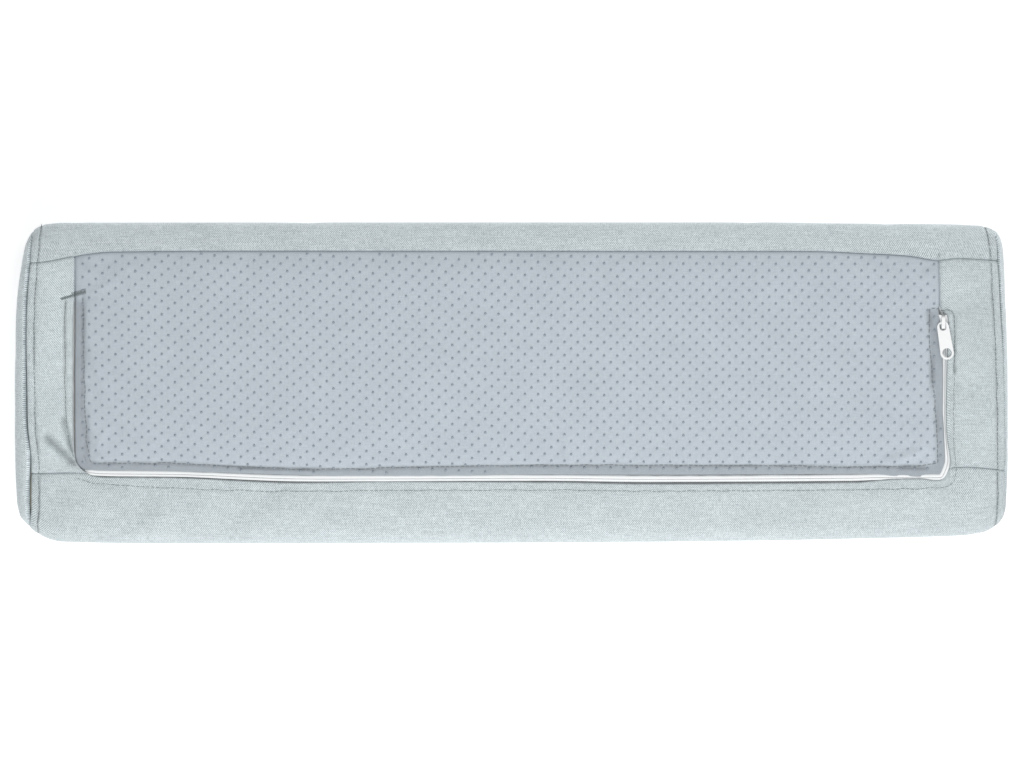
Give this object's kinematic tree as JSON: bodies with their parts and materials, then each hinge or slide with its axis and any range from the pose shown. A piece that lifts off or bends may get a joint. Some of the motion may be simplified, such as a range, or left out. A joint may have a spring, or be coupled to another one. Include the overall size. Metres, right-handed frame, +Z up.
{
  "type": "kneeling pad",
  "caption": "Long foam kneeling pad in a zip-off linen-look cover, with a dotted anti-slip panel on its underside that opens as a flap along a coil zip.",
  "frame": {"origin": "middle of the kneeling face, which is the face that lies on the floor", "axes": "+X along the pad towards the end with the zip's slider, +Y towards the back edge with the narrower strip, +Z up out of the underside with the anti-slip panel; turn it 180 degrees about X to kneel on it"},
  "size_m": [0.6, 0.193, 0.0527],
  "materials": {
    "foam": "open-cell foam",
    "linen": "pale grey-green linen weave",
    "grip_fabric": "fine cool grey cloth with raised anti-slip dots",
    "zip_tape": "white woven tape",
    "zip_coil": "white nylon monofilament",
    "slider_enamel": "white enamel on die-cast metal",
    "thread": "grey-green sewing thread"
  },
  "bodies": {
    "cover": {"foam_core": "foam", "wrap_panel": "linen", "left_end_panel": "linen", "right_end_panel": "linen", "left_underside_panel": "linen", "right_underside_panel": "linen", "grip_panel_back": "grip_fabric", "outer_zip_tape": "zip_tape", "outer_zip_coil": "zip_coil", "left_bar_tack": "thread", "right_box_stitch": "thread", "outer_topstitch": "thread", "left_end_topstitch": "thread", "right_end_topstitch": "thread"},
    "flap": {"grip_panel_flap": "grip_fabric", "grip_flap_lip": "grip_fabric", "inner_zip_tape": "zip_tape", "inner_zip_coil": "zip_coil", "flap_topstitch": "thread"},
    "slider": {"slider_body": "slider_enamel", "slider_cap": "slider_enamel"},
    "pull": {"pull_tab": "slider_enamel"}
  },
  "joints": [
    {"name": "flap_open", "type": "hinge", "parent": "cover", "child": "flap", "pos_m": [0, 0.03, 0.05], "axis": [-1, 0, 0], "range_deg": [0, 150], "deforming": ["grip_flap_lip", "inner_zip_tape", "inner_zip_coil"]},
    {"name": "slider_travel", "type": "slide", "parent": "cover", "child": "slider", "axis": [0, -1, 0], "range_m": [0, 0.08]},
    {"name": "pull_swing", "type": "hinge", "parent": "slider", "child": "pull", "pos_m": [0.2602, 0.03635, 0.05095], "axis": [-1, 0, 0], "range_deg": [0, 170]}
  ]
}
